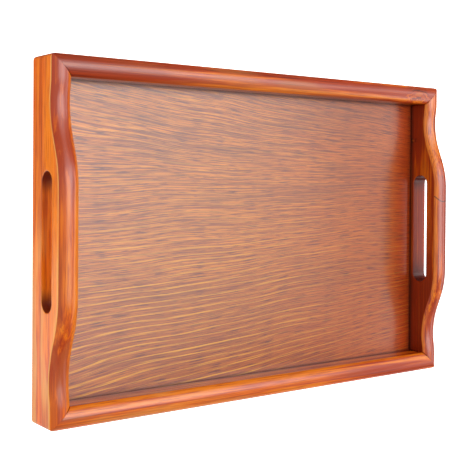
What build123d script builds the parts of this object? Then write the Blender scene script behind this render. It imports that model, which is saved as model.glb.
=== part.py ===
"""Serving tray: a mitred wooden frame with two raised handle ends, round a plywood panel.

Millimetres. X runs along the tray, Y across it and Z up. The tray rests on Z = 0 with its
middle at X = 0, Y = 0, and the handles are at its two X ends.
"""

import os
from itertools import product

from build123d import *

# Overall size, outside to outside
LENGTH = 450.0
WIDTH = 300.0

# Rails: the same board section all round, with a rounded crown between two top arrises
RAIL_THICKNESS = 18.0
RAIL_HEIGHT = 33.0  # from the floor to the arrises
CROWN_RISE = 4.2  # the middle of the crown above its arrises
FOOT_EASE = 1.0  # rounding of the long bottom edges

# Handle rails: the top runs level across each mitre, dips, and swells up to the handle
HANDLE_RISE = 14.0  # handle arrises above those at the corners
HANDLE_DIP = 1.8  # lowest point of each dip below the corners
HANDLE_FLAT = 84.0  # level stretch along the middle
DIP_INSET = 18.0  # lowest point of each dip, in from the end of the mitre
SWELL_SOFTNESS = 0.45  # how long the swell stays near level at each of its ends

# Hand slots
SLOT_LENGTH = 113.0
SLOT_HEIGHT = 18.0
SLOT_FLOOR = 17.8  # lower edge of the slot above the floor
SLOT_EASE = 0.8  # rounding of the slot's two rims

# Panel, laid in a groove that runs round the inside of the frame
GROOVE_FLOOR = 8.0  # lower side of the groove above the floor
GROOVE_DEPTH = 6.5
PANEL_EDGE_GAP = 0.5  # between the panel's edge and the bottom of the groove
PANEL_TOP_GAP = 0.5  # between the panel's face and the upper side of the groove
PLIES = {
    "panel_back_veneer": 0.6,
    "panel_lower_crossband": 1.2,
    "panel_centre_ply": 1.4,
    "panel_upper_crossband": 1.2,
    "panel_face_veneer": 0.6,
}

# V-nails: two pressed up into the underside across each mitre, below the groove
V_NAIL_LEG = 5.0
V_NAIL_GAUGE = 0.8
V_NAIL_MARGIN = 3.0  # from the rail's outer and inner faces
V_NAIL_SINK = 0.3  # from the floor up to the nail
V_NAIL_COVER = 0.7  # wood left between the nail and the groove

# Worked out from the sizes above
PANEL_THICKNESS = sum(PLIES.values())
GROOVE_LENGTH = LENGTH - 2 * (RAIL_THICKNESS - GROOVE_DEPTH)
GROOVE_WIDTH = WIDTH - 2 * (RAIL_THICKNESS - GROOVE_DEPTH)
GROOVE_HEIGHT = PANEL_THICKNESS + PANEL_TOP_GAP
PANEL_LENGTH = GROOVE_LENGTH - 2 * PANEL_EDGE_GAP
PANEL_WIDTH = GROOVE_WIDTH - 2 * PANEL_EDGE_GAP
HANDLE_TOP = RAIL_HEIGHT + HANDLE_RISE
DIP_BOTTOM = RAIL_HEIGHT - HANDLE_DIP
TALLEST = HANDLE_TOP + CROWN_RISE
V_NAIL_HEIGHT = GROOVE_FLOOR - V_NAIL_SINK - V_NAIL_COVER


def board_section(plane, foot):
    """Section across a rail: 0 is the outer face, and the foot is at the height given."""
    with BuildSketch(plane) as section:
        with BuildLine():
            Polyline(
                (0, RAIL_HEIGHT),
                (0, foot),
                (RAIL_THICKNESS, foot),
                (RAIL_THICKNESS, RAIL_HEIGHT),
            )
            ThreePointArc(
                (RAIL_THICKNESS, RAIL_HEIGHT),
                (RAIL_THICKNESS / 2, RAIL_HEIGHT + CROWN_RISE),
                (0, RAIL_HEIGHT),
            )
        make_face()
    return section.sketch


def handle_crest(plane):
    """Line of a handle rail's arris in Y and Z, from one end of the rail to the other."""
    end = WIDTH / 2
    mitre = end - RAIL_THICKNESS
    dip = mitre - DIP_INSET
    flat = HANDLE_FLAT / 2
    turn_in = DIP_INSET / 2
    swell = SWELL_SOFTNESS * (dip - flat)
    with BuildLine(plane) as crest:
        for side in (-1, 1):
            Line((side * end, RAIL_HEIGHT), (side * mitre, RAIL_HEIGHT))
            Bezier(
                (side * mitre, RAIL_HEIGHT),
                (side * (mitre - turn_in), RAIL_HEIGHT),
                (side * (dip + turn_in), DIP_BOTTOM),
                (side * dip, DIP_BOTTOM),
            )
            Bezier(
                (side * dip, DIP_BOTTOM),
                (side * (dip - swell), DIP_BOTTOM),
                (side * (flat + swell), HANDLE_TOP),
                (side * flat, HANDLE_TOP),
            )
        Line((-flat, HANDLE_TOP), (flat, HANDLE_TOP))
    return crest.wire()


def mitred_plan(outer_a, outer_b, inner_b, inner_a):
    """A rail seen from above, between its two mitres."""
    with BuildSketch(Plane.XY) as plan:
        Polygon(outer_a, outer_b, inner_b, inner_a, align=None)
    return plan.sketch


def ease_foot(along):
    """Round the two long bottom edges of the rail being made."""
    fillet(edges().filter_by(along).group_by(Axis.Z)[0], radius=FOOT_EASE)


def finish(piece, name):
    """Name a finished piece and write it out."""
    piece.part.label = name
    export_step(piece.part, f"parts/{name}.step")


os.makedirs("parts", exist_ok=True)

# V-nails, each an angle seen from below, with its point towards the tray's corner
with BuildSketch(Plane.XY) as v_nail_plan:
    for side_x, side_y, inset in product(
        (-1, 1),
        (-1, 1),
        (V_NAIL_MARGIN, RAIL_THICKNESS - V_NAIL_MARGIN - V_NAIL_LEG),
    ):
        tip = Vector(side_x * (LENGTH / 2 - inset), side_y * (WIDTH / 2 - inset))
        leg_x = Vector(-side_x * V_NAIL_LEG, 0)
        leg_y = Vector(0, -side_y * V_NAIL_LEG)
        gauge_x = Vector(-side_x * V_NAIL_GAUGE, 0)
        gauge_y = Vector(0, -side_y * V_NAIL_GAUGE)
        Polygon(
            tip,
            tip + leg_x,
            tip + leg_x + gauge_y,
            tip + gauge_x + gauge_y,
            tip + gauge_x + leg_y,
            tip + leg_y,
            align=None,
        )
with BuildPart() as mitre_v_nails:
    extrude(v_nail_plan.sketch.moved(Location((0, 0, V_NAIL_SINK))), amount=V_NAIL_HEIGHT)
finish(mitre_v_nails, "mitre_v_nails")

# What is cut out of every rail: the panel's groove, and the V-nails' slits from below
with BuildPart() as rail_cuts:
    with BuildSketch(Plane.XY.offset(GROOVE_FLOOR)):
        Rectangle(GROOVE_LENGTH, GROOVE_WIDTH)
    extrude(amount=GROOVE_HEIGHT)
    extrude(v_nail_plan.sketch, amount=V_NAIL_SINK + V_NAIL_HEIGHT)

# Plan of the frame: half its outside and half its inside, along X and Y
outer_x, outer_y = LENGTH / 2, WIDTH / 2
inner_x, inner_y = outer_x - RAIL_THICKNESS, outer_y - RAIL_THICKNESS

# Long rails: a straight run of the board section
for name, facing in (("front_long_rail", -1), ("back_long_rail", 1)):
    end_plane = Plane(
        origin=(facing * outer_x, facing * outer_y, 0),
        x_dir=(0, -facing, 0),
        z_dir=(-facing, 0, 0),
    )
    plan = mitred_plan(
        (-outer_x, facing * outer_y),
        (outer_x, facing * outer_y),
        (inner_x, facing * inner_y),
        (-inner_x, facing * inner_y),
    )
    with BuildPart() as long_rail:
        extrude(board_section(end_plane, foot=0), amount=LENGTH)
        ease_foot(Axis.X)
        extrude(plan, amount=TALLEST, mode=Mode.INTERSECT)
        add(rail_cuts.part, mode=Mode.SUBTRACT)
    finish(long_rail, name)

# Handle rails: the same section carried along the crest without turning, and level below
for name, facing in (("left_handle_rail", -1), ("right_handle_rail", 1)):
    end_plane = Plane(
        origin=(facing * outer_x, -outer_y, 0),
        x_dir=(-facing, 0, 0),
        z_dir=(0, facing, 0),
    )
    outer_face = Plane.YZ.offset(facing * outer_x)
    plan = mitred_plan(
        (facing * outer_x, -outer_y),
        (facing * outer_x, outer_y),
        (facing * inner_x, inner_y),
        (facing * inner_x, -inner_y),
    )
    with BuildPart() as handle_rail:
        section = board_section(end_plane, foot=-TALLEST)
        sweep(section, path=handle_crest(outer_face), normal=(0, 1, 0))
        split(bisect_by=Plane.XY, keep=Keep.TOP)
        ease_foot(Axis.Y)
        with BuildSketch(outer_face):
            with Locations((0, SLOT_FLOOR + SLOT_HEIGHT / 2)):
                SlotOverall(SLOT_LENGTH, SLOT_HEIGHT)
        extrude(amount=-facing * RAIL_THICKNESS, mode=Mode.SUBTRACT)
        slot_edges = edges(Select.LAST).group_by(Axis.X)
        fillet(slot_edges[0] + slot_edges[-1], radius=SLOT_EASE)
        extrude(plan, amount=TALLEST, mode=Mode.INTERSECT)
        add(rail_cuts.part, mode=Mode.SUBTRACT)
    finish(handle_rail, name)

# Panel: five plies glued into one sheet, from the back veneer up
level = GROOVE_FLOOR
for name, thickness in PLIES.items():
    with BuildPart() as ply:
        with BuildSketch(Plane.XY.offset(level)):
            Rectangle(PANEL_LENGTH, PANEL_WIDTH)
        extrude(amount=thickness)
    finish(ply, name)
    level += thickness
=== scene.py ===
"""Wooden serving tray: four mitred softwood rails round a veneered plywood panel.

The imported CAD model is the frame. The rails are rebuilt with eased edges, the panel keeps its own plies,
and every surface gets a procedural finish. All lengths are in metres.
"""
import math

import bmesh
import bpy
from bpy.props import FloatProperty, FloatVectorProperty, IntProperty, PointerProperty
from mathutils import Matrix, Vector


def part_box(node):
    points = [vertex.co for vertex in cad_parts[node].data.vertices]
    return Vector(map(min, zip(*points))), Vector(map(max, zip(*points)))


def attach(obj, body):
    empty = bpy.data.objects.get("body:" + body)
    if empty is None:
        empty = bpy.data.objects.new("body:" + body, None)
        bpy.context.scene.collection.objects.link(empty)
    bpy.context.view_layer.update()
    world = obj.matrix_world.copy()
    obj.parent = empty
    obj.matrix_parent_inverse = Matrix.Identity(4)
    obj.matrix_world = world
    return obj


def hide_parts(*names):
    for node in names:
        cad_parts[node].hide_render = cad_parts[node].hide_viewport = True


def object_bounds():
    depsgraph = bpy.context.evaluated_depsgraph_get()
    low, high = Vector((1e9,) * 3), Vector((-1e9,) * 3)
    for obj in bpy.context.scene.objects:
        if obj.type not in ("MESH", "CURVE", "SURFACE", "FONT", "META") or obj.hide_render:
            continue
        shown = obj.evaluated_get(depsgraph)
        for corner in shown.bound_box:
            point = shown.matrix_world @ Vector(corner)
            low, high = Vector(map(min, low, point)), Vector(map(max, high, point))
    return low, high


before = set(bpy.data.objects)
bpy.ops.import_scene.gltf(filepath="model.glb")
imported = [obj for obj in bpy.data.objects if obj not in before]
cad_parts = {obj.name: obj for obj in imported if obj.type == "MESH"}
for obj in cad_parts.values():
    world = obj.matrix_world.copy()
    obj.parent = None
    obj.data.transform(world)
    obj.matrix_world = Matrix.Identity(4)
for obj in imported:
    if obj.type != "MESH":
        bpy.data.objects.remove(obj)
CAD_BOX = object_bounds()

bl_info = {
    "name": "Serving Tray",
    "version": (1, 0, 0),
    "blender": (4, 5, 0),
    "location": "View3D > Sidebar > Tray",
    "description": "Builds a mitred wooden serving tray with its finishes, light and camera",
    "category": "Add Mesh",
}

MM = 0.001
QUARTER = math.pi / 2

SHARP = math.radians(38)  # edges that turn by more stay sharp
MERGE_WITHIN = 0.002 * MM  # points closer than this are one
NOISE_MIDDLE = 0.5  # what noise swings about
PATCH_STEP = (1.7, 0.31, 0.53)  # how far one whole seed moves a pattern
SWELL_BEND, SWELL_ROUNDS = 0.35, 3  # how strongly, and how many times over, the hand hold's rise is bent
UP_FROM, UP_TO = 0.5, 0.95  # shares of the arris height between which the hand hold's rise sets in
EVEN_SPACING, EASED_SPACING = 0.45, 0.55  # stations stand closer together near a rail's ends
MITRE_CURVE = 3.0  # power with which a mitre opens towards the inner corner
SLOT_END_STEPS, FLARE_STEPS = 24, 6  # of the hand slot's round ends and of its eased rims
FLARE_PAST_FACE = 1.6  # in slot eases, how wide the cutter is outside the faces
POCKET_ROOM, POCKET_FOOT, POCKET_ABOVE = 0.3 * MM, -1 * MM, 0.2 * MM  # round, below and above a nail
LEVEL_TOP = 2.0  # a colour ramp holds 0 to 1, and levels run up to this
KEY_SIZE, SIDE_SIZE = (0.9, 0.7), (1.0, 0.35)  # width and height of the soft lights
FLOOR_SIZE, FLOOR_DROP, FLOOR_ROUGHNESS = 30, 0.2 * MM, 0.9
WHITE = (1.0, 1.0, 1.0)

RAILS = {  # quarter turns of each CAD rail from the front one, and whether it has a hand hold
    "front_long_rail": {"turns": 0, "handle": False},
    "right_handle_rail": {"turns": 1, "handle": True},
    "back_long_rail": {"turns": 2, "handle": False},
    "left_handle_rail": {"turns": 3, "handle": True},
}

# Each stop is (share of the rail's length, level). Tones run from bright (0) over red (1) to dark (2),
# "pale" says where paler wood and painted highlight show, "dull" where the lacquer is thin, and lengths are
# in metres.
NONE_OF_IT = ((0.0, 0.0), (1.0, 0.0))
# Unless a rail says otherwise, the arris line takes the pale colour: wear with a painted highlight.
PLAIN_LOOK = {"edge": "pale_wood_and_highlight", "lining": 0.0, "crown_hides": 0.0, "knots": ()}
RAIL_LOOKS = {
    "front_long_rail": {
        # The front rail's arris line is drawn dark, as painted shade along its outer arris.
        "seed": 3.0, "dark": 0.75, "worn": 0.7, "edge": "knot_rim", "streaks": 4.2, "inner": 0.4,
        "pale": ((0.0, 0.35), (0.5, 0.3), (0.8, 0.0)),
        "dull": ((0.0, 0.1), (0.5, 0.0), (0.75, 0.25), (1.0, 0.35)),
        "tones": ((0.0, 0.5), (0.5, 0.5), (1.0, 0.6)),
        "crown_tones": (
            (0.0, 0.7), (0.12, 0.55), (0.35, 0.5), (0.6, 0.5), (0.75, 0.9), (0.9, 0.9), (1.0, 0.75),
        ),
    },
    "right_handle_rail": {
        "seed": 7.0, "dark": 0.75, "worn": 0.3, "streaks": 4.2, "inner": 0.5, "lining": 0.6,
        "pale": NONE_OF_IT,
        "dull": ((0.0, 0.15), (0.5, 0.0)),
        # The high side tones darken the inner face, partly as painted shade.
        "tones": ((0.0, 1.6), (0.28, 1.45), (0.45, 0.6), (0.7, 0.6), (0.82, 1.3), (1.0, 1.4)),
        # The level below zero brightens the crown on the hand hold's swell: a painted highlight.
        "crown_tones": ((0.0, 0.9), (0.25, 0.9), (0.45, 0.7), (0.65, 0.5), (0.8, -0.1), (1.0, 0.4)),
        "knots": ({"at": (0.094, -0.207, 0.0160), "size": (0.0014, 0.003, 0.0030), "push": 0.002},),
        "crack": 0.029,
    },
    "back_long_rail": {
        "seed": 11.0, "dark": 0.9, "worn": 0.25, "streaks": 6.5, "inner": 0.75,
        "pale": ((0.0, 0.0), (0.5, 0.15), (1.0, 0.0)),
        "dull": NONE_OF_IT,
        "tones": ((0.0, 0.95), (0.5, 0.75), (1.0, 0.9)),
        "crown_tones": ((0.0, 1.05), (0.25, 1.05), (0.45, 0.9), (0.6, 0.85), (0.8, 1.4), (1.0, 1.45)),
        "knots": ({"at": (-0.1925, -0.1415, 0.0365), "size": (0.0075, 0.0036, 0.004), "push": 0.008},),
    },
    "left_handle_rail": {
        "seed": 5.0, "dark": 0.3, "worn": 0.95, "streaks": 2.6, "inner": 0.8, "lining": -0.5,
        "crown_hides": 0.8,
        "pale": ((0.0, 0.0), (0.4, 0.1), (0.55, 0.4), (0.8, 0.5), (1.0, 0.5)),
        "dull": ((0.0, 0.0), (0.35, 0.05), (0.5, 0.45), (0.7, 0.35), (0.85, 0.3), (0.95, 0.6)),
        "tones": ((0.0, 0.02), (0.35, 0.06), (0.6, 0.2), (0.85, 0.45), (1.0, 0.7)),
        "crown_tones": (
            (0.0, 0.95), (0.28, 1.0), (0.45, 0.35), (0.6, 0.25),
            (0.72, 0.6), (0.82, 1.0), (0.93, 0.55), (1.0, 0.6),
        ),
    },
}

VENEERS = {"panel_face_veneer": ("face_veneer", 2.0), "panel_back_veneer": ("back_veneer", 9.0)}  # name, seed
CORE_PLIES = {  # name, quarter turns of the grain, seed
    "panel_upper_crossband": ("upper_crossband", 1, 4.0),
    "panel_centre_ply": ("centre_ply", 0, 5.0),
    "panel_lower_crossband": ("lower_crossband", 1, 6.0),
}


# ---- settings


def length(name, description, default):
    """A length property in metres."""
    return FloatProperty(name=name, description=description, default=default, unit="LENGTH", precision=5)


def share(name, description, default):
    """A plain factor property."""
    return FloatProperty(name=name, description=description, default=default, min=0.0, max=1.0)


def colour(name, description, default):
    """A linear colour property."""
    return FloatVectorProperty(
        name=name, description=description, default=default, subtype="COLOR", size=3, min=0.0, max=1.0
    )


def place(name, description, default, subtype="TRANSLATION"):
    """A point or a turn in the tray's own frame."""
    return FloatVectorProperty(name=name, description=description, default=default, subtype=subtype, size=3)


class TrayShape(bpy.types.PropertyGroup):
    """Sizes of the rails and nails that the finished meshes add to the CAD."""

    arris_height: length("Arris height", "Height of the rail's upper edges", 33 * MM)
    crown_rise: length("Crown rise", "How far the top swells above its two edges", 4.2 * MM)
    handle_rise: length("Handle rise", "How far the hand hold stands above the rail", 14 * MM)
    handle_dip: length("Handle dip", "How far the rail dips before the hand hold", 1.8 * MM)
    handle_flat: length("Handle flat", "Half length of the level part of the hand hold", 42 * MM)
    swell_run: length("Swell run", "Length over which the hand hold rises", 72 * MM)
    dip_run: length("Dip run", "Length over which the rail dips", 18 * MM)
    arris_round: length("Arris round", "Radius on the rail's upper edges", 0.6 * MM)
    foot_round: length("Foot round", "Radius on the rail's lower edges", 1.0 * MM)
    corner_round: length("Corner round", "Radius on the tray's upright corners", 4.0 * MM)
    groove_floor: length("Groove floor", "Height of the panel groove's lower side", 8 * MM)
    groove_top: length("Groove top", "Height of the panel groove's upper side", 13.5 * MM)
    groove_depth: length("Groove depth", "How far the panel groove runs into the rail", 6.5 * MM)
    groove_ease: length("Groove ease", "Radius on the groove's upper lip", 0.5 * MM)
    mitre_gap: length("Mitre gap", "Hairline left at each mitre", 0.03 * MM)
    mitre_open: length("Mitre opening", "Extra opening at the inner corner of a mitre", 0.8 * MM)
    slot_length: length("Slot length", "Overall length of the hand slot", 113 * MM)
    slot_height: length("Slot height", "Height of the hand slot", 18 * MM)
    slot_floor: length("Slot floor", "Height of the hand slot's lower side", 17.8 * MM)
    slot_ease: length("Slot ease", "Radius on the hand slot's rims", 0.8 * MM)
    stations: IntProperty(name="Stations", description="Sections along one rail", default=150, min=8)
    nail_leg: length("Nail leg", "Length of each leg of a mitre nail", 5 * MM)
    nail_gauge: length("Nail gauge", "Sheet thickness of a mitre nail", 0.8 * MM)
    nail_foot: length("Nail foot", "Height of a mitre nail's lower edge", 0.3 * MM)
    nail_head: length("Nail head", "Height of a mitre nail's upper edge", 7.3 * MM)
    nail_near: length("Near nail", "Inset of the outer nail's tip from both sides", 3 * MM)
    nail_far: length("Far nail", "Inset of the inner nail's tip from both sides", 10 * MM)


class TrayFinish(bpy.types.PropertyGroup):
    """Colours and gloss of the tray's woods and metal."""

    rail_bright: colour("Bright early wood", "Palest streaks in the rails", (0.92, 0.235, 0.004))
    rail_body: colour("Body wood", "Main tone of the rails", (0.80, 0.14, 0.002))
    rail_red: colour("Red wood", "Redder streaks in the rails", (0.46, 0.045, 0.003))
    rail_dark: colour("Dark wood", "Darkest streaks in the rails", (0.17, 0.014, 0.003))
    knot_heart: colour("Knot heart", "Inside of a knot", (0.60, 0.12, 0.008))
    # Also used for painted shade along the front rail's outer arris and just above the groove lip.
    knot_rim: colour("Knot rim", "Ring round a knot, and the darkest marks", (0.07, 0.010, 0.003))
    # Drawn in patches and along the arrises: paler wood, partly painted highlight.
    pale_wood_and_highlight: colour("Worn edge", "Paler wood on handled edges and in patches", (1.0, 0.50, 0.11))
    rail_gloss: share("Rail roughness", "Roughness of the lacquered rails", 0.36)
    rail_coat: share("Rail coat", "Weight of the lacquer over the rails", 0.85)
    panel_gold: colour("Gold grain", "Pale lines of the panel", (0.80, 0.252, 0.007))
    panel_thread: colour("Gold threads", "Regular bright lines in the panel's figure", (0.85, 0.38, 0.012))
    panel_body: colour("Panel body", "Main tone of the panel", (0.34, 0.062, 0.006))
    panel_red: colour("Panel red", "Redder tone towards the panel's right end", (0.50, 0.082, 0.002))
    panel_plum: colour("Plum grain", "Dark dashes of the panel", (0.13, 0.02, 0.009))
    panel_gloss: share("Panel roughness", "Roughness of the lacquered panel", 0.46)
    panel_coat: share("Panel coat", "Weight of the lacquer over the panel", 1.0)
    core_pale: colour("Pale core", "Light tone of the plywood core", (0.55, 0.36, 0.19))
    core_dark: colour("Dark core", "Dark tone of the plywood core", (0.36, 0.20, 0.09))
    steel: colour("Nail steel", "Tone of the mitre nails", (0.46, 0.46, 0.45))
    grain_pitch: length("Grain pitch", "Spacing of the panel's grain lines", 2.7 * MM)


class TrayStage(bpy.types.PropertyGroup):
    """Camera, lights and floor."""

    camera_place: place("Camera place", "Where the camera stands", (-0.5494, 0.0508, 0.7133))
    camera_turn: place("Camera turn", "How the camera is turned", (-0.0165, -0.63923, 0.00887), "EULER")
    lens: FloatProperty(name="Lens", description="Focal length in millimetres", default=71.94)
    shift_up: FloatProperty(name="Shift", description="Upward shift of the view", default=-0.0957)
    key_place: place("Key light place", "Centre of the large soft light", (0.45, 0.1, 0.95))
    key_power: FloatProperty(name="Key power", description="Power of the large soft light", default=1.1)
    side_place: place("Side light place", "Centre of the low soft light", (1.0, 0.0, 0.55))
    side_power: FloatProperty(name="Side power", description="Power of the low soft light", default=1.0)
    floor_white: colour("Floor", "Tone of the floor", (0.86, 0.86, 0.86))
    floor_glow: FloatProperty(name="Floor glow", description="Light given off by the floor", default=1.25)


# ---- node wiring


class Wiring:
    """Short calls for wiring a shader or geometry node tree."""

    def __init__(self, tree):
        self.tree = tree

    def node(self, kind, values=(), **settings):
        """A new node with its settings, its inputs fed in order or by name."""
        made = self.tree.nodes.new(kind)
        for key, value in settings.items():
            setattr(made, key, value)
        self.fill(made, values)
        return made

    def fill(self, node, values):
        """Feeds a node's inputs in order or by name."""
        for key, value in values.items() if isinstance(values, dict) else enumerate(values):
            self.feed(node.inputs[key], value)

    def feed(self, socket, value):
        """Links value to socket if it is an output, and otherwise sets it."""
        if isinstance(value, bpy.types.NodeSocket):
            self.tree.links.new(value, socket)
            return
        if socket.type == "RGBA" and len(value) == 3:
            value = (*value, 1.0)
        socket.default_value = value

    def math(self, operation, *values, clamp=False):
        """A number worked out from up to three others."""
        return self.node("ShaderNodeMath", values, operation=operation, use_clamp=clamp).outputs[0]

    def times(self, first, *others):
        """Numbers multiplied in order."""
        for other in others:
            first = self.math("MULTIPLY", first, other)
        return first

    def over(self, first, second):
        """First divided by second."""
        return self.math("DIVIDE", first, second)

    def plus(self, first, second, clamp=False):
        """First and second added."""
        return self.math("ADD", first, second, clamp=clamp)

    def minus(self, first, second, clamp=False):
        """Second taken from first."""
        return self.math("SUBTRACT", first, second, clamp=clamp)

    def swing(self, noise, reach):
        """Noise made to swing about zero."""
        return self.times(self.minus(noise, NOISE_MIDDLE), reach)

    def vector(self, operation, *values):
        """A vector, or for a length or dot product a number, worked out from vectors."""
        made = self.node("ShaderNodeVectorMath", values, operation=operation)
        return made.outputs["Value" if operation in ("LENGTH", "DOT_PRODUCT") else "Vector"]

    def split(self, vector):
        """The three numbers of a vector."""
        return self.node("ShaderNodeSeparateXYZ", (vector,)).outputs

    def join(self, x=0.0, y=0.0, z=0.0):
        """A vector from three numbers."""
        return self.node("ShaderNodeCombineXYZ", (x, y, z)).outputs[0]

    def shape(self, kind, values=()):
        """The first output of a geometry node."""
        return self.node("GeometryNode" + kind, values).outputs[0]

    def step(self, value, low, high, out_low=0.0, out_high=1.0, kind="SMOOTHSTEP"):
        """Value moved from one range to another, held at both ends."""
        values = {"Value": value, "From Min": low, "From Max": high, "To Min": out_low, "To Max": out_high}
        return self.node("ShaderNodeMapRange", values, interpolation_type=kind, clamp=True).outputs[0]

    def ramp(self, *value_and_range):
        """A step with straight sides."""
        return self.step(*value_and_range, kind="LINEAR")

    def noise(self, vector, detail, roughness=0.5, distortion=0.0):
        """Cloudy noise at one cell per unit of vector."""
        values = {"Vector": vector, "Scale": 1.0, "Detail": detail, "Roughness": roughness}
        return self.node("ShaderNodeTexNoise", {**values, "Distortion": distortion}).outputs["Fac"]

    def grain(self, vector, scale, settings):
        """Noise stretched by a scale for each axis."""
        return self.noise(self.vector("MULTIPLY", vector, scale), *settings)

    def mark(self, name):
        """A number stored at the mesh's points."""
        return self.node("ShaderNodeAttribute", attribute_name=name).outputs["Fac"]

    def blend(self, factor, first, second):
        """Two colours mixed."""
        made = self.node("ShaderNodeMix", data_type="RGBA")
        self.feed(made.inputs["Factor"], factor)
        for name, given in (("A", first), ("B", second)):
            self.feed(next(s for s in made.inputs if s.name == name and s.type == "RGBA"), given)
        return next(s for s in made.outputs if s.type == "RGBA")

    def layers(self, base, *over):
        """A colour with others laid over it, each given as (factor, colour)."""
        for factor, colour_over in over:
            base = self.blend(factor, base, colour_over)
        return base

    def levels(self, value, stops):
        """A number from 0 to 2 read from stops of (position, level) with soft steps between them."""
        made = self.node("ShaderNodeValToRGB", (value,))
        made.color_ramp.interpolation = "EASE"
        ramp = made.color_ramp.elements
        while len(ramp) > 1:
            ramp.remove(ramp[-1])
        for index, (position, level) in enumerate(stops):
            stop = ramp[0] if index == 0 else ramp.new(position)
            grey = level / LEVEL_TOP
            stop.position, stop.color = position, (grey, grey, grey, 1.0)
        return self.times(made.outputs[0], LEVEL_TOP)

    def bump(self, height, strength, distance):
        """A surface normal from a height."""
        values = {"Strength": strength, "Distance": distance, "Height": height}
        return self.node("ShaderNodeBump", values).outputs[0]


def add_object(name, data):
    """A new object in the scene."""
    made = bpy.data.objects.new(name, data)
    bpy.context.scene.collection.objects.link(made)
    return made


def surface(name):
    """A new material, its wiring and its Principled shader."""
    material = bpy.data.materials.new(name)
    material.use_nodes = True
    shader = next(n for n in material.node_tree.nodes if n.type == "BSDF_PRINCIPLED")
    return material, Wiring(material.node_tree), shader


# ---- finishes


class Lacquer:
    """Surface settings that the lacquered woods share."""

    coat_ior = 1.7
    specular = 0.15
    middle = (0.3, 0.7)  # the range of noise that gloss and the arris line (wear with painted highlight and shade) follow


class RailGrain:
    """How the rails are drawn. Ranges are (low, high, result at low, result at high)."""

    streak_scale, streak_noise = (5.0, 260.0, 260.0), (3.0, 0.62, 0.2)
    fibre_scale, fibre_noise = (35.0, 900.0, 900.0), (2.0, 0.6)
    cloud_scale, cloud_noise = (9.0, 60.0, 60.0), (2.0, 0.5, 0.4)
    inner_slope = (0.66, 0.92)  # shares of the thickness
    cloud_swing = 2.4
    bright_to_body, body_to_red, red_to_dark = (0.0, 0.45), (0.42, 0.95), (1.0, 2.0)
    dark_streaks, red_fibres = (0.56, 0.72), (0.45, 0.7, 0.0, 0.7)
    pale_clouds = (0.46, 0.62)
    least_arris_line = 0.5
    slot_ends = (0.036, 0.052, 0.0, 0.95)
    # The first number sets how dark the painted shade just above the groove lip is.
    grime, slot_dulling = 0.8, 0.5
    gloss_less, gloss_more = 0.04, 0.08
    coat_roughness = 0.16
    bump, bump_height = 0.8, 0.4 * MM


class Knot:
    """How a knot is drawn. Ranges are distances from its centre in its own sizes."""

    detail, uneven = 1.0, 1.6
    push = (0.6, 3.2, 1.0, 0.0)
    red = (2.2, 0.9, 0.0, 0.7)
    ring, ring_streaks = (2.6, 1.0), (0.46, 0.58, 0.05, 0.9)
    heart = (0.85, 0.45)


class Crack:
    """How the crack over a crown is drawn."""

    bend = 70.0
    width = (1.0 * MM, 0.2 * MM, 0.0, 0.9)


class PanelGrain:
    """How the panel's veneers are drawn. Runs are per metre along the grain, pitches are in grain pitches."""

    slope_top, slope_low = (0.1, 0.95, 0.0, -0.14), (-0.9, 0.2, 0.11, 0.03)
    wander_scale, wander_noise, wander = (6.0, 9.0, 1.0), (1.0,), 0.014
    line_run, line_pitch, line_noise = 9.0, 0.32, (3.0, 0.8)
    dash_run, dash_pitch, dash_seed, dash_noise = 50.0, 0.21, 3.0, (2.0, 0.5)
    vein_run, vein_pitch, vein_seed, vein_noise = 14.0, 0.8, 6.0, (2.0, 0.7)
    pore_scale, pore_noise, pore_push = (5.0, 70.0, 1.0), (2.0,), 1.5
    ring_pitch = 1.9
    cloud_scale, cloud_noise = (5.0, 48.0, 1.0), (2.0, 0.5)
    thread_rings, thread_lines = (0.45, 0.95), (0.40, 0.60)
    thread_rows, thread_columns = (0.35, -0.35, 0.25, 0.9), (0.75, -0.3, 0.2, 1.0)
    gold_lines, gold_rows = (0.38, 0.62), (-0.7, 0.1, 0.45, 1.0)
    redder = (-0.4, 1.0, 0.0, 0.8)
    plum_clouds, plum_dashes = (0.45, 0.75, 0.0, 0.3), (0.52, 0.62, 0.0, 0.9)
    plum_veins, vein_rows = (0.48, 0.66), (-0.3, 0.7, 0.1, 0.7)
    right_end = (42 * MM, 14 * MM, 0.0, 0.75)
    rim_shade = (1.8 * MM, 0.0, 0.0, 0.7)
    gloss_more, gloss_less = 0.05, 0.03
    thin_coat, coat_roughness = 0.75, 0.19
    bump, bump_height = 0.2, 0.1 * MM


class CoreGrain:
    """How the plies inside the panel are drawn."""

    scale, noise = (30.0, 500.0, 500.0), (3.0, 0.6, 0.3)
    dark, rough = (0.35, 0.65), (0.3, 0.7, 0.62, 0.78)
    bump, bump_height = 0.3, 0.1 * MM


class SteelGrain:
    """How the drawn steel of the nails is drawn."""

    seed, scale, noise = 1.0, (300.0, 300.0, 2500.0), (2.0, 0.6)
    marks, rough = (0.3, 0.7), (0.3, 0.7, 0.32, 0.5)
    darker = 0.7
    bump, bump_height = 0.2, 0.05 * MM


def turned_grain(wires, turns, seed):
    """Object coordinates turned so that X runs along the grain, and moved to a patch of its own."""
    coordinates = wires.node("ShaderNodeTexCoord").outputs["Object"]
    values = {"Vector": coordinates, "Rotation": (0.0, 0.0, -turns * QUARTER)}
    turned = wires.node("ShaderNodeMapping", values, vector_type="POINT").outputs[0]
    return turned, wires.vector("ADD", turned, tuple(seed * step for step in PATCH_STEP))


def knot_mask(wires, point, knot):
    """Distance from a knot's centre in units of its own size, made a little uneven."""
    scaled = wires.vector("DIVIDE", wires.vector("SUBTRACT", point, knot["at"]), knot["size"])
    uneven = wires.noise(scaled, Knot.detail)
    return wires.plus(wires.vector("LENGTH", scaled), wires.swing(uneven, Knot.uneven))


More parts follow.
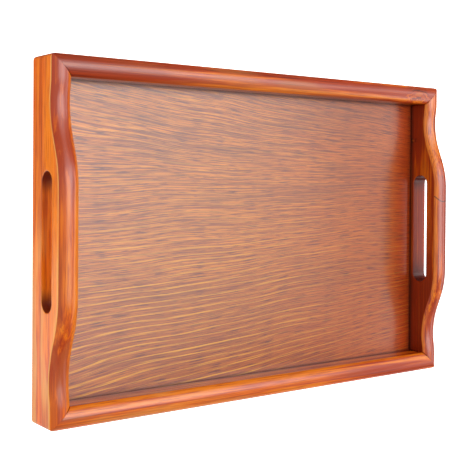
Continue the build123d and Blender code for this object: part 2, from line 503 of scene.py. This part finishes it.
def crack_mask(wires, along, inward, crown, rail):
    """A thin bent line across the crown."""
    aside = wires.minus(inward, rail["thickness"] / 2)
    bend = wires.times(aside, aside, Crack.bend)
    off_line = wires.math("ABSOLUTE", wires.minus(wires.minus(along, bend), rail["crack"]))
    return wires.times(wires.step(off_line, *Crack.width), crown)


def lacquer(wires, shader, base, rough, coat, coat_roughness, normal):
    """Feeds a lacquered wood's results to its shader."""
    wires.fill(shader, {
        "Base Color": base, "Roughness": rough, "Coat Weight": coat, "Coat Roughness": coat_roughness,
        "Coat IOR": Lacquer.coat_ior, "Specular IOR Level": Lacquer.specular, "Normal": normal,
    })


def rail_wood(name, finish, rail):
    """Lacquered softwood with long soft streaks along one rail."""
    material, wires, shader = surface(name)
    grain = RailGrain
    point, moved = turned_grain(wires, rail["turns"], rail["seed"])
    masks = [knot_mask(wires, point, knot) for knot in rail["knots"]]
    for mask, knot in zip(masks, rail["knots"]):
        push = wires.times(wires.step(mask, *Knot.push), knot["push"])
        moved = wires.vector("ADD", moved, wires.join(0.0, push, 0.0))
    streaks = wires.grain(moved, grain.streak_scale, grain.streak_noise)
    fibres = wires.grain(moved, grain.fibre_scale, grain.fibre_noise)
    clouds = wires.grain(moved, grain.cloud_scale, grain.cloud_noise)
    crown, slot = wires.mark("crown"), wires.mark("slot")
    along, across, _ = wires.split(point)
    inward = wires.minus(across, rail["outer"])
    part = wires.ramp(along, -rail["half"], rail["half"])

    side, top = wires.levels(part, rail["tones"]), wires.levels(part, rail["crown_tones"])
    tone = wires.plus(side, wires.times(crown, wires.minus(top, side)))
    slope = [share_in * rail["thickness"] for share_in in grain.inner_slope]
    tone = wires.minus(tone, wires.times(crown, wires.step(inward, *slope, 0.0, rail["inner"])))
    tone = wires.plus(tone, wires.times(slot, rail["lining"]))
    red = wires.plus(tone, wires.swing(clouds, grain.cloud_swing))
    red = wires.plus(red, wires.swing(streaks, rail["streaks"]), clamp=True)
    base = wires.layers(
        finish.rail_bright,
        (wires.ramp(red, *grain.bright_to_body), finish.rail_body),
        (wires.ramp(red, *grain.body_to_red), finish.rail_red),
        (wires.step(streaks, *grain.dark_streaks, 0.0, rail["dark"]), finish.rail_dark),
        (wires.ramp(tone, *grain.red_to_dark), finish.rail_dark),
        (wires.step(fibres, *grain.red_fibres), finish.rail_red),
    )
    for mask in masks:
        ring = wires.times(wires.step(mask, *Knot.ring), wires.step(streaks, *Knot.ring_streaks))
        base = wires.layers(base, (wires.step(mask, *Knot.red), finish.rail_red), (ring, finish.knot_rim),
                            (wires.step(mask, *Knot.heart), finish.knot_heart))
    if "crack" in rail:
        base = wires.blend(crack_mask(wires, along, inward, crown, rail), base, finish.knot_rim)

    # Pale patches: partly paler wood, partly painted highlight.
    pale = wires.times(wires.levels(part, rail["pale"]), wires.step(clouds, *grain.pale_clouds))
    pale = wires.times(pale, wires.minus(1.0, wires.times(crown, rail["crown_hides"])))
    arris_line_strength = wires.step(clouds, *Lacquer.middle, grain.least_arris_line * rail["worn"], rail["worn"])
    slot_end = wires.times(slot, wires.step(wires.math("ABSOLUTE", along), *grain.slot_ends))
    # Laid over the grain: pale patches, the arris line (wear with painted highlight, and painted shade on the
    # front rail), dark slot ends, and painted shade just above the groove lip.
    base = wires.layers(
        base,
        (pale, finish.pale_wood_and_highlight),
        (wires.times(wires.mark("worn"), arris_line_strength), getattr(finish, rail["edge"])),
        (slot_end, finish.rail_dark),
        (wires.times(wires.mark("grime"), grain.grime), finish.knot_rim),
    )

    gloss = finish.rail_gloss
    rough = wires.step(clouds, *Lacquer.middle, gloss - grain.gloss_less, gloss + grain.gloss_more)
    coat = wires.minus(finish.rail_coat, wires.times(slot, grain.slot_dulling))
    coat = wires.minus(coat, wires.times(wires.levels(part, rail["dull"]), finish.rail_coat), clamp=True)
    normal = wires.bump(wires.plus(streaks, fibres), grain.bump, grain.bump_height)
    lacquer(wires, shader, base, rough, coat, grain.coat_roughness, normal)
    return material


def panel_veneer(name, finish, seed, half_x, half_y, rim):
    """Lacquered figured veneer: fine gold lines and short plum dashes along X."""
    material, wires, shader = surface(name)
    grain = PanelGrain
    point, moved = turned_grain(wires, 0, seed)
    x, y, _ = wires.split(point)
    rows, columns = wires.over(y, half_y), wires.over(x, half_x)
    slope_low = wires.ramp(rows, *grain.slope_low)
    rise = wires.times(x, wires.plus(wires.step(rows, *grain.slope_top), slope_low))
    wander = wires.swing(wires.grain(moved, grain.wander_scale, grain.wander_noise), grain.wander)
    flow = wires.minus(wires.minus(y, rise), wander)

    def strokes(run, pitch, seed_step, noise):
        """Noise drawn out along the figure's lines."""
        rows_along = wires.over(flow, finish.grain_pitch * pitch)
        return wires.noise(wires.join(wires.times(x, run), rows_along, seed + seed_step), *noise)

    lines = strokes(grain.line_run, grain.line_pitch, 0.0, grain.line_noise)
    dashes = strokes(grain.dash_run, grain.dash_pitch, grain.dash_seed, grain.dash_noise)
    veins = strokes(grain.vein_run, grain.vein_pitch, grain.vein_seed, grain.vein_noise)
    clouds = wires.grain(moved, grain.cloud_scale, grain.cloud_noise)
    pores = wires.times(wires.grain(moved, grain.pore_scale, grain.pore_noise), grain.pore_push)
    turns = wires.plus(wires.over(flow, finish.grain_pitch * grain.ring_pitch), pores)
    rings = wires.math("SINE", wires.times(turns, 2 * math.pi))
    threads = wires.times(
        wires.step(rings, *grain.thread_rings), wires.step(rows, *grain.thread_rows),
        wires.step(columns, *grain.thread_columns), wires.step(lines, *grain.thread_lines),
    )

    gold = wires.times(wires.step(lines, *grain.gold_lines), wires.step(rows, *grain.gold_rows))
    veins = wires.times(wires.step(veins, *grain.plum_veins), wires.step(rows, *grain.vein_rows))
    # Near the right end the panel gets painted shade and reflection of the right rail, and a thinner coat.
    right_shade_band = wires.step(wires.minus(half_x, x), *grain.right_end)
    to_side = wires.minus(half_y - rim, wires.math("ABSOLUTE", y))
    to_end = wires.minus(half_x - rim, wires.math("ABSOLUTE", x))
    to_rim = wires.math("MINIMUM", to_side, to_end)
    base = wires.layers(
        finish.panel_body,
        (gold, finish.panel_gold),
        (wires.step(columns, *grain.redder), finish.panel_red),
        (wires.step(clouds, *grain.plum_clouds), finish.panel_plum),
        (veins, finish.panel_plum),
        # Painted shade and reflection of the right rail near the panel's right end.
        (right_shade_band, finish.rail_red),
        (wires.step(dashes, *grain.plum_dashes), finish.panel_plum),
        (threads, finish.panel_thread),
        (wires.step(to_rim, *grain.rim_shade), finish.panel_plum),
    )

    gloss = finish.panel_gloss
    rough = wires.step(lines, *Lacquer.middle, gloss + grain.gloss_more, gloss - grain.gloss_less)
    coat = wires.times(wires.minus(1.0, wires.times(right_shade_band, grain.thin_coat)), finish.panel_coat)
    normal = wires.bump(wires.minus(lines, dashes), grain.bump, grain.bump_height)
    lacquer(wires, shader, base, rough, coat, grain.coat_roughness, normal)
    return material


def core_wood(name, finish, turns, seed):
    """Plain peeled veneer inside the plywood."""
    material, wires, shader = surface(name)
    _, moved = turned_grain(wires, turns, seed)
    grain = wires.grain(moved, CoreGrain.scale, CoreGrain.noise)
    wires.fill(shader, {
        "Base Color": wires.blend(wires.step(grain, *CoreGrain.dark), finish.core_pale, finish.core_dark),
        "Roughness": wires.step(grain, *CoreGrain.rough),
        "Normal": wires.bump(grain, CoreGrain.bump, CoreGrain.bump_height),
    })
    return material


def nail_steel(name, finish):
    """Rolled steel strip with a light drawn texture."""
    material, wires, shader = surface(name)
    _, moved = turned_grain(wires, 0, SteelGrain.seed)
    marks = wires.grain(moved, SteelGrain.scale, SteelGrain.noise)
    darker = tuple(SteelGrain.darker * part for part in finish.steel)
    wires.fill(shader, {
        "Base Color": wires.blend(wires.step(marks, *SteelGrain.marks), finish.steel, darker),
        "Metallic": 1.0,
        "Roughness": wires.step(marks, *SteelGrain.rough),
        "Normal": wires.bump(marks, SteelGrain.bump, SteelGrain.bump_height),
    })
    return material


# ---- geometry nodes


SOCKET_KINDS = {float: "Float", int: "Int", bpy.types.Material: "Material"}


def new_tree(name, values):
    """A geometry node tree with an input for each named value, its wiring, and its inputs and outputs."""
    tree = bpy.data.node_groups.new(name, "GeometryNodeTree")
    for way in ("INPUT", "OUTPUT"):
        tree.interface.new_socket("Geometry", in_out=way, socket_type="NodeSocketGeometry")
    for label, value in values.items():
        kind = "NodeSocket" + SOCKET_KINDS[type(value)]
        tree.interface.new_socket(label, in_out="INPUT", socket_type=kind)
    wires = Wiring(tree)
    return tree, wires, wires.node("NodeGroupInput").outputs, wires.node("NodeGroupOutput").inputs


def grown(name, seed_mesh, make_tree, values):
    """A plain mesh object made by running a tree on seed_mesh with its named inputs."""
    holder = add_object(name, seed_mesh)
    modifier = holder.modifiers.new("Shape", "NODES")
    tree = modifier.node_group = make_tree(values)
    for item in tree.interface.items_tree:
        if item.in_out == "INPUT" and item.name in values:
            modifier[item.identifier] = values[item.name]
    bpy.context.view_layer.update()
    evaluated = holder.evaluated_get(bpy.context.evaluated_depsgraph_get())
    mesh = bpy.data.meshes.new_from_object(evaluated)
    bpy.data.objects.remove(holder)
    return add_object(name, mesh)


def end_tree(wires, geometry, given, result):
    """Ends a tree: real geometry with its material."""
    real = wires.shape("RealizeInstances", {"Geometry": geometry})
    wires.feed(result[0], wires.shape("SetMaterial", {"Geometry": real, "Material": given["Finish"]}))


def rail_tree(values):
    """A section run along X, mitred at both ends, swelling into a hand hold, with rounded corners."""
    tree, wires, given, result = new_tree("Tray rail", values)
    half, outer = given["Half length"], given["Outer face"]

    ends = {"Start": wires.join(wires.times(half, -1.0)), "End": wires.join(half)}
    path = wires.shape("CurvePrimitiveLine", ends)
    stations = wires.shape("ResampleCurve", {"Curve": path, "Count": given["Stations"]})
    outline = wires.shape("MeshToCurve", {"Mesh": given["Geometry"]})
    swept = wires.shape("CurveToMesh", {"Curve": stations, "Profile Curve": outline, "Fill Caps": True})

    x, y, z = wires.split(wires.shape("InputPosition"))
    across = wires.minus(y, outer)
    reach = wires.over(x, half)
    bunched = wires.math("SINE", wires.times(reach, QUARTER))
    reach = wires.plus(wires.times(reach, EVEN_SPACING), wires.times(bunched, EASED_SPACING))
    inward = wires.math("POWER", wires.over(across, given["Thickness"]), MITRE_CURVE)
    gap = wires.plus(given["Mitre gap"], wires.times(inward, given["Mitre opening"]))
    along = wires.times(reach, wires.minus(wires.minus(half, across), gap))

    from_middle = wires.math("ABSOLUTE", along)
    swell_start = wires.plus(given["Handle flat"], given["Swell run"])
    dip_start = wires.plus(swell_start, given["Dip run"])
    share_up = wires.ramp(from_middle, swell_start, given["Handle flat"])
    turn = share_up
    for _ in range(SWELL_ROUNDS):
        bend = wires.times(turn, wires.minus(1.0, turn), wires.minus(1.0, wires.times(turn, 2.0)))
        turn = wires.minus(share_up, wires.times(bend, SWELL_BEND))
    swell = wires.times(wires.step(turn, 0.0, 1.0), wires.plus(given["Handle rise"], given["Handle dip"]))
    dip = wires.times(wires.step(from_middle, dip_start, swell_start), given["Handle dip"])
    up_from, up_to = (wires.times(given["Arris height"], part) for part in (UP_FROM, UP_TO))
    upper = wires.ramp(z, up_from, up_to)
    height = wires.plus(z, wires.times(wires.minus(swell, dip), upper))

    radius = given["Corner round"]
    side_way = wires.math("MINIMUM", wires.minus(across, radius), 0.0)
    end_way = wires.math("MINIMUM", wires.minus(wires.minus(half, from_middle), radius), 0.0)
    away = wires.vector("LENGTH", wires.join(side_way, end_way))
    pull = wires.minus(wires.over(radius, wires.math("MAXIMUM", away, radius)), 1.0)
    rounded_y = wires.plus(wires.plus(outer, across), wires.times(side_way, pull))
    sign = wires.math("SIGN", along)
    rounded_x = wires.minus(along, wires.times(sign, wires.times(end_way, pull)))

    moved = wires.join(rounded_x, rounded_y, height)
    rotation = wires.join(0.0, 0.0, wires.times(given["Quarter turns"], QUARTER))
    shaped = wires.shape("SetPosition", {"Geometry": swept, "Position": moved})
    end_tree(wires, wires.shape("Transform", {"Geometry": shaped, "Rotation": rotation}), given, result)
    return tree


def nail_tree(values):
    """One nail copied to each mitre at two insets, its tip towards the tray's corner."""
    tree, wires, given, result = new_tree("Mitre nails", values)
    both = wires.node("GeometryNodeJoinGeometry")
    for label in ("Near inset", "Far inset"):
        spans = [wires.minus(given["Span " + way], wires.times(given[label], 2.0)) for way in "XY"]
        corners = {"Size X": spans[0], "Size Y": spans[1], "Vertices X": 2, "Vertices Y": 2}
        wires.feed(both.inputs[0], wires.shape("MeshGrid", corners))
    x, y, _ = wires.split(wires.shape("InputPosition"))
    quarter = wires.math("FLOOR", wires.over(wires.math("ARCTAN2", y, x), QUARTER))
    rotation = wires.join(0.0, 0.0, wires.times(quarter, QUARTER))
    copies = {"Points": both.outputs[0], "Instance": given["Geometry"], "Rotation": rotation}
    end_tree(wires, wires.shape("InstanceOnPoints", copies), given, result)
    return tree


# ---- mesh parts


def arc(centre, radius, start, stop, steps):
    """Points on an arc in the section plane, angles in degrees."""
    turns = (math.radians(start + (stop - start) * i / steps) for i in range(steps + 1))
    return [(centre[0] + radius * math.cos(a), centre[1] + radius * math.sin(a)) for a in turns]


class Section:
    """How the rail's section is drawn, in arris radii unless it says otherwise."""

    outer_drop, inner_drop = 1.9, 2.6  # points below the arris that hold the upright faces flat
    arris = ((0.0, 1.2), (0.12, 0.55), (0.42, 0.02))  # (in from the face, down from the arris)
    crown_share, crown_steps = 0.92, 18  # share of the crown's arc that is drawn between the arrises
    above_lip = 9  # groove eases
    lower_lip = 0.5  # foot rounds
    lip_steps, lower_lip_steps, foot_steps = 4, 3, 5


def section_outline(shape, thickness):
    """The rail's section as (distance in from the outer face, height), once round from the outer foot."""
    foot, edge, lip = shape.foot_round, shape.arris_round, shape.groove_ease
    top, rise, lower_lip = shape.arris_height, shape.crown_rise, foot * Section.lower_lip
    crown_radius = (thickness * thickness / 4 + rise * rise) / (2 * rise)
    crown_centre = (thickness / 2, top + rise - crown_radius)
    slope = math.degrees(math.asin(thickness / 2 / crown_radius)) * Section.crown_share
    points = [(0.0, top - edge * Section.outer_drop)]
    points += [(edge * inset, top - edge * drop) for inset, drop in Section.arris]
    points += arc(crown_centre, crown_radius, 90 + slope, 90 - slope, Section.crown_steps)
    points += [(thickness - edge * inset, top - edge * drop) for inset, drop in reversed(Section.arris)]
    upright = (top - edge * Section.inner_drop, shape.groove_top + lip * Section.above_lip)
    points += [(thickness, height) for height in upright]
    points += arc((thickness - lip, shape.groove_top + lip), lip, 0, -90, Section.lip_steps)
    points += [(thickness - shape.groove_depth, height) for height in (shape.groove_top, shape.groove_floor)]
    lower_centre = (thickness - lower_lip, shape.groove_floor - lower_lip)
    points += arc(lower_centre, lower_lip, 90, 0, Section.lower_lip_steps)
    points += arc((thickness - foot, foot), foot, 0, -90, Section.foot_steps)
    points += arc((foot, foot), foot, -90, -180, Section.foot_steps)
    return points


def outline_mesh(points, outer):
    """The outline as a closed ring of edges, turned half round because the sweep turns it back."""
    mesh = bpy.data.meshes.new("section")
    count = len(points)
    edges = [(i, (i + 1) % count) for i in range(count)]
    mesh.from_pydata([(-outer - inset, -height, 0.0) for inset, height in points], edges, [])
    return mesh


def tidy_mesh(piece, sharp_angle):
    """Merges doubles, points the faces outwards and marks the sharp edges."""
    work = bmesh.new()
    work.from_mesh(piece.data)
    bmesh.ops.remove_doubles(work, verts=work.verts, dist=MERGE_WITHIN)
    bmesh.ops.recalc_face_normals(work, faces=work.faces)
    for face in work.faces:
        face.smooth = True
    for edge in work.edges:
        edge.smooth = len(edge.link_faces) == 2 and edge.calc_face_angle(0.0) < sharp_angle
    work.to_mesh(piece.data)
    work.free()


def cut(piece, cutter):
    """Takes cutter out of piece, for good."""
    modifier = piece.modifiers.new("Cut", "BOOLEAN")
    modifier.operation, modifier.solver, modifier.object = "DIFFERENCE", "EXACT", cutter
    evaluated = piece.evaluated_get(bpy.context.evaluated_depsgraph_get())
    mesh = bpy.data.meshes.new_from_object(evaluated)
    piece.modifiers.remove(modifier)
    piece.data = mesh


def stadium(work, straight, radius, depth, middle):
    """A ring of points: two half circles joined by straight sides, standing across the rail."""
    ring = []
    for end in (1, -1):
        for step in range(SLOT_END_STEPS + 1):
            turn = math.radians(90 * end - 180 * step / SLOT_END_STEPS)
            along = end * straight + radius * math.cos(turn)
            ring.append(work.verts.new((along, depth, middle + radius * math.sin(turn))))
    return ring


def slot_cutter(shape, thickness, outer, turns):
    """The hand slot as a solid: a stadium with flared rims, standing across the rail."""
    ease, radius = shape.slot_ease, shape.slot_height / 2
    straight = shape.slot_length / 2 - radius
    middle = shape.slot_floor + radius
    flare = []
    for step in range(FLARE_STEPS + 1):
        turn = math.radians(90 * step / FLARE_STEPS)
        flare.append((ease * (1 - math.cos(turn)), ease * (1 - math.sin(turn))))
    past_face = ease * FLARE_PAST_FACE
    far_flare = [(thickness - depth, offset) for depth, offset in reversed(flare)]
    depths = [(-ease, past_face)] + flare + far_flare + [(thickness + ease, past_face)]
    work = bmesh.new()
    rings = [stadium(work, straight, radius + offset, outer + depth, middle) for depth, offset in depths]
    count = len(rings[0])
    for first, second in zip(rings, rings[1:]):
        for i in range(count):
            j = (i + 1) % count
            work.faces.new((first[i], first[j], second[j], second[i]))
    work.faces.new(rings[0])
    work.faces.new(list(reversed(rings[-1])))
    bmesh.ops.recalc_face_normals(work, faces=work.faces)
    bmesh.ops.rotate(work, verts=work.verts, matrix=Matrix.Rotation(turns * QUARTER, 3, "Z"))
    mesh = bpy.data.meshes.new("hand slot")
    work.to_mesh(mesh)
    work.free()
    return add_object("hand_slot_cutter", mesh)


def nail_mesh(leg, gauge, foot, head):
    """One L-shaped nail with its tip at the origin and its legs running towards -X and -Y."""
    outline = [(0, 0), (-leg, 0), (-leg, -gauge), (-gauge, -gauge), (-gauge, -leg), (0, -leg)]
    work = bmesh.new()
    low = [work.verts.new((x, y, foot)) for x, y in outline]
    high = [work.verts.new((x, y, head)) for x, y in outline]
    work.faces.new(low)
    work.faces.new(high)
    for i in range(len(outline)):
        j = (i + 1) % len(outline)
        work.faces.new((low[i], low[j], high[j], high[i]))
    bmesh.ops.recalc_face_normals(work, faces=work.faces)
    mesh = bpy.data.meshes.new("nail")
    work.to_mesh(mesh)
    work.free()
    return mesh


def all_nails(name, shape, leg, gauge, foot, head, finish):
    """Eight nails, two to each mitre."""
    low, high = CAD_BOX
    wider = gauge - shape.nail_gauge
    values = {
        "Span X": high.x - low.x + wider, "Span Y": high.y - low.y + wider,
        "Near inset": shape.nail_near, "Far inset": shape.nail_far, "Finish": finish,
    }
    return grown(name, nail_mesh(leg, gauge, foot, head), nail_tree, values)


def held(value):
    """Value kept between 0 and 1."""
    return min(max(value, 0.0), 1.0)


def soft_step(value):
    """A soft step from 0 to 1."""
    return value * value * (3 - 2 * value)


def crest_at(shape, rail, from_middle):
    """How far the hand hold lifts the rail's upper edges at a distance from its middle."""
    if not rail["handle"]:
        return 0.0
    swell_start = shape.handle_flat + shape.swell_run
    turn = share_up = held((swell_start - from_middle) / shape.swell_run)
    for _ in range(SWELL_ROUNDS):
        turn = share_up - SWELL_BEND * turn * (1 - turn) * (1 - 2 * turn)
    dip = held((swell_start + shape.dip_run - from_middle) / shape.dip_run)
    return soft_step(turn) * (shape.handle_rise + shape.handle_dip) - soft_step(dip) * shape.handle_dip


class Marks:
    """How far each mark reaches. Shares are of the rounding or slot that the mark follows."""

    # The arris line (wear with painted highlight, painted shade on the front rail) reaches this far.
    worn_depth, worn_height = 0.6 * MM, 0.9
    crown_height = 0.7
    slot_inset, slot_height = 0.3 * MM, 0.6
    # Reach of the painted shade just above the groove lip.
    grime_depth, grime_height = 0.6 * MM, 1.2


def surface_marks(piece, shape, rail):
    """Stores which points are the arris line (wear with painted highlight, and painted shade on the front
    rail), crown, slot lining, and the strip just above the groove lip that gets painted shade.
    """
    back = Matrix.Rotation(-rail["turns"] * QUARTER, 3, "Z")
    marks = {"worn": [], "crown": [], "slot": [], "grime": []}
    slot_reach = shape.slot_length / 2 + shape.slot_ease
    slot_middle = shape.slot_floor + shape.slot_height / 2
    for vertex in piece.data.vertices:
        local = back @ vertex.co
        across = local.y - rail["outer"]
        arris = shape.arris_height + crest_at(shape, rail, abs(local.x))
        inside = min(across, rail["thickness"] - across) > Marks.slot_inset
        beside = abs(local.z - slot_middle) < shape.slot_height * Marks.slot_height
        near_lip = abs(local.z - shape.groove_top) < Marks.grime_height * shape.groove_ease
        near_arris = abs(local.z - arris) < Marks.worn_height * shape.arris_round
        marks["worn"].append(across < Marks.worn_depth and near_arris)
        marks["crown"].append(local.z > arris - Marks.crown_height * shape.arris_round)
        marks["slot"].append(rail["handle"] and abs(local.x) < slot_reach and inside and beside)
        marks["grime"].append(near_lip and across > rail["thickness"] - Marks.grime_depth)
    for key, values in marks.items():
        layer = piece.data.attributes.new(key, "FLOAT", "POINT")
        layer.data.foreach_set("value", [float(value) for value in values])


def make_rail(name, scene):
    """One rail with its finish, standing for its CAD node."""
    shape, finish = scene.tray_shape, scene.tray_finish
    low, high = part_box(name)
    size, tray = high - low, CAD_BOX[1] - CAD_BOX[0]
    rail = {**PLAIN_LOOK, **RAILS[name], **RAIL_LOOKS[name]}
    rail["half"], rail["thickness"] = max(size.x, size.y) / 2, min(size.x, size.y)
    rail["outer"] = -(tray.x if rail["turns"] % 2 else tray.y) / 2
    wood = rail_wood(name + "_wood", finish, rail)
    values = {
        "Half length": rail["half"], "Outer face": rail["outer"], "Arris height": shape.arris_height,
        "Handle rise": shape.handle_rise if rail["handle"] else 0.0,
        "Handle dip": shape.handle_dip if rail["handle"] else 0.0,
        "Handle flat": shape.handle_flat, "Swell run": shape.swell_run, "Dip run": shape.dip_run,
        "Corner round": shape.corner_round, "Mitre gap": shape.mitre_gap, "Mitre opening": shape.mitre_open,
        "Thickness": rail["thickness"], "Quarter turns": float(rail["turns"]), "Stations": shape.stations,
        "Finish": wood,
    }
    outline = outline_mesh(section_outline(shape, rail["thickness"]), rail["outer"])
    piece = grown(name + "_piece", outline, rail_tree, values)
    tidy_mesh(piece, SHARP)
    cutters = [all_nails("nail_pockets", shape, shape.nail_leg + POCKET_ROOM, shape.nail_gauge + POCKET_ROOM,
                         POCKET_FOOT, shape.nail_head + POCKET_ABOVE, wood)]
    if rail["handle"]:
        cutters.append(slot_cutter(shape, rail["thickness"], rail["outer"], rail["turns"]))
    for cutter in cutters:
        cut(piece, cutter)
        bpy.data.objects.remove(cutter)
    tidy_mesh(piece, SHARP)
    surface_marks(piece, shape, rail)
    piece.data.materials.clear()
    piece.data.materials.append(wood)
    steady = piece.modifiers.new("Steady shading", "WEIGHTED_NORMAL")
    steady.keep_sharp = True
    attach(piece, "root")
    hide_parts(name)
    return piece


# ---- operators


def make_rails(scene, handle):
    """The two rails with a hand hold, or the two without."""
    for name, rail in RAILS.items():
        if rail["handle"] == handle:
            make_rail(name, scene)


class TRAY_OT_long_rails(bpy.types.Operator):
    """Make the front and back long rails"""

    bl_idname = "tray.long_rails"
    bl_label = "Long Rails"

    def execute(self, context):
        make_rails(context.scene, handle=False)
        return {"FINISHED"}


class TRAY_OT_handle_rails(bpy.types.Operator):
    """Make the two end rails with their hand holds and slots"""

    bl_idname = "tray.handle_rails"
    bl_label = "Handle Rails"

    def execute(self, context):
        make_rails(context.scene, handle=True)
        return {"FINISHED"}


def refinish(node, material):
    """Gives a CAD node its finish."""
    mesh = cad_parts[node].data
    mesh.materials.clear()
    mesh.materials.append(material)


class TRAY_OT_panel(bpy.types.Operator):
    """Finish the five plies of the panel"""

    bl_idname = "tray.panel"
    bl_label = "Panel"

    def execute(self, context):
        finish = context.scene.tray_finish
        low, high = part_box("panel_face_veneer")
        half_x, half_y = (high.x - low.x) / 2, (high.y - low.y) / 2
        rim = context.scene.tray_shape.groove_depth
        for node, (name, seed) in VENEERS.items():
            refinish(node, panel_veneer(name, finish, seed, half_x, half_y, rim))
        for node, (name, turns, seed) in CORE_PLIES.items():
            refinish(node, core_wood(name, finish, turns, seed))
        return {"FINISHED"}


class TRAY_OT_nails(bpy.types.Operator):
    """Drive two nails into the underside of each mitre"""

    bl_idname = "tray.nails"
    bl_label = "Mitre Nails"

    def execute(self, context):
        shape = context.scene.tray_shape
        steel = nail_steel("mitre_nail_steel", context.scene.tray_finish)
        nails = all_nails("mitre_v_nail_set", shape, shape.nail_leg, shape.nail_gauge,
                          shape.nail_foot, shape.nail_head, steel)
        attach(nails, "root")
        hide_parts("mitre_v_nails")
        return {"FINISHED"}


def soft_light(name, at, size, power):
    """A rectangular soft light looking at the middle of the tray's foot."""
    light = bpy.data.lights.new(name, "AREA")
    light.shape, light.energy = "RECTANGLE", power
    light.size, light.size_y = size
    lamp = add_object(name, light)
    lamp.location = at
    lamp.rotation_euler = (-Vector(at)).to_track_quat("-Z", "Y").to_euler()


class Room:
    """How bright the surroundings are. Ranges are of a direction's part, then of the light there."""

    glow_towards = Vector((0.25, 0.26, 0.93)).normalized()
    wide_glow, core_glow = (0.1, 0.9, 0.0, 0.3), (0.82, 0.96, 0.0, 2.9)
    left_sky = (-0.5, 0.1, 0.42, 0.1)
    band_top, band_foot, band_right = (0.69, 0.60), (0.3, 0.45), (0.6, 0.75, 0.0, 0.9)
    back_fade = (0.22, 0.48, 1.0, 0.55)
    below = (-0.14, -0.02, 0.85, 0.0)
    horizon = (-0.06, 0.06)
    tint = (1.0, 0.98, 0.97)


def room_light():
    """Soft surroundings: a bright patch above the tray, a band low on the right, and a little from below."""
    world = bpy.data.worlds.new("room")
    world.use_nodes = True
    bpy.context.scene.world = world
    wires = Wiring(world.node_tree)
    background = next(n for n in world.node_tree.nodes if n.type == "BACKGROUND")
    direction = wires.node("ShaderNodeTexCoord").outputs["Generated"]
    x, y, z = wires.split(direction)
    facing = wires.vector("DOT_PRODUCT", direction, Room.glow_towards)
    above = wires.plus(wires.step(x, *Room.left_sky), wires.step(facing, *Room.wide_glow))
    above = wires.plus(above, wires.ramp(facing, *Room.core_glow))
    band = wires.times(
        wires.step(z, *Room.band_top), wires.step(z, *Room.band_foot), wires.step(x, *Room.band_right)
    )
    above = wires.times(wires.plus(above, band), wires.step(y, *Room.back_fade))
    level = wires.step(z, *Room.horizon)
    below = wires.times(wires.step(y, *Room.below), wires.minus(1.0, level))
    strength = wires.plus(wires.times(above, level), below)
    wires.fill(background, {"Strength": strength, "Color": Room.tint})


def lay_floor(context, stage):
    """A pale floor just below the tray's foot, which shows in no reflection."""
    bpy.ops.mesh.primitive_grid_add(size=FLOOR_SIZE, x_subdivisions=2, y_subdivisions=2, location=(0, 0, 0))
    floor = context.object
    floor.name = "floor"
    for vertex in floor.data.vertices:
        vertex.co.z = -FLOOR_DROP
    material, wires, shader = surface("pale_floor")
    wires.fill(shader, {
        "Base Color": tuple(stage.floor_white), "Roughness": FLOOR_ROUGHNESS,
        "Emission Color": WHITE, "Emission Strength": stage.floor_glow,
    })
    floor.data.materials.append(material)
    floor.visible_glossy = False


class TRAY_OT_stage(bpy.types.Operator):
    """Set the floor, the lights and the camera"""

    bl_idname = "tray.stage"
    bl_label = "Stage"

    def execute(self, context):
        stage = context.scene.tray_stage
        context.scene.view_settings.view_transform = "Standard"
        room_light()
        soft_light("key_light", stage.key_place, KEY_SIZE, stage.key_power)
        soft_light("side_light", stage.side_place, SIDE_SIZE, stage.side_power)
        lay_floor(context, stage)
        camera = add_object("camera", bpy.data.cameras.new("camera"))
        camera.location, camera.rotation_euler = stage.camera_place, stage.camera_turn
        camera.data.lens, camera.data.shift_y = stage.lens, stage.shift_up
        context.scene.camera = camera
        return {"FINISHED"}


class TRAY_PT_sidebar(bpy.types.Panel):
    """Lists the steps that build the tray."""

    bl_label = "Serving Tray"
    bl_idname = "TRAY_PT_sidebar"
    bl_space_type = "VIEW_3D"
    bl_region_type = "UI"
    bl_category = "Tray"

    def draw(self, context):
        for step in STEPS:
            self.layout.operator(step.bl_idname)
        for group in (context.scene.tray_shape, context.scene.tray_finish, context.scene.tray_stage):
            box = self.layout.box()
            for key in group.__annotations__:
                box.prop(group, key)


STEPS = (TRAY_OT_stage, TRAY_OT_long_rails, TRAY_OT_handle_rails, TRAY_OT_panel, TRAY_OT_nails)
GROUPS = {"tray_shape": TrayShape, "tray_finish": TrayFinish, "tray_stage": TrayStage}


def register():
    """Adds the classes and their settings to Blender."""
    for kind in (*GROUPS.values(), *STEPS, TRAY_PT_sidebar):
        bpy.utils.register_class(kind)
    for key, kind in GROUPS.items():
        setattr(bpy.types.Scene, key, PointerProperty(type=kind))


def unregister():
    """Takes the classes and their settings out again."""
    for key in GROUPS:
        delattr(bpy.types.Scene, key)
    for kind in reversed((*GROUPS.values(), *STEPS, TRAY_PT_sidebar)):
        bpy.utils.unregister_class(kind)


def main():
    """Builds the whole tray."""
    register()
    for step in STEPS:
        group, action = step.bl_idname.split(".")
        getattr(getattr(bpy.ops, group), action)()


if __name__ == "__main__":
    main()
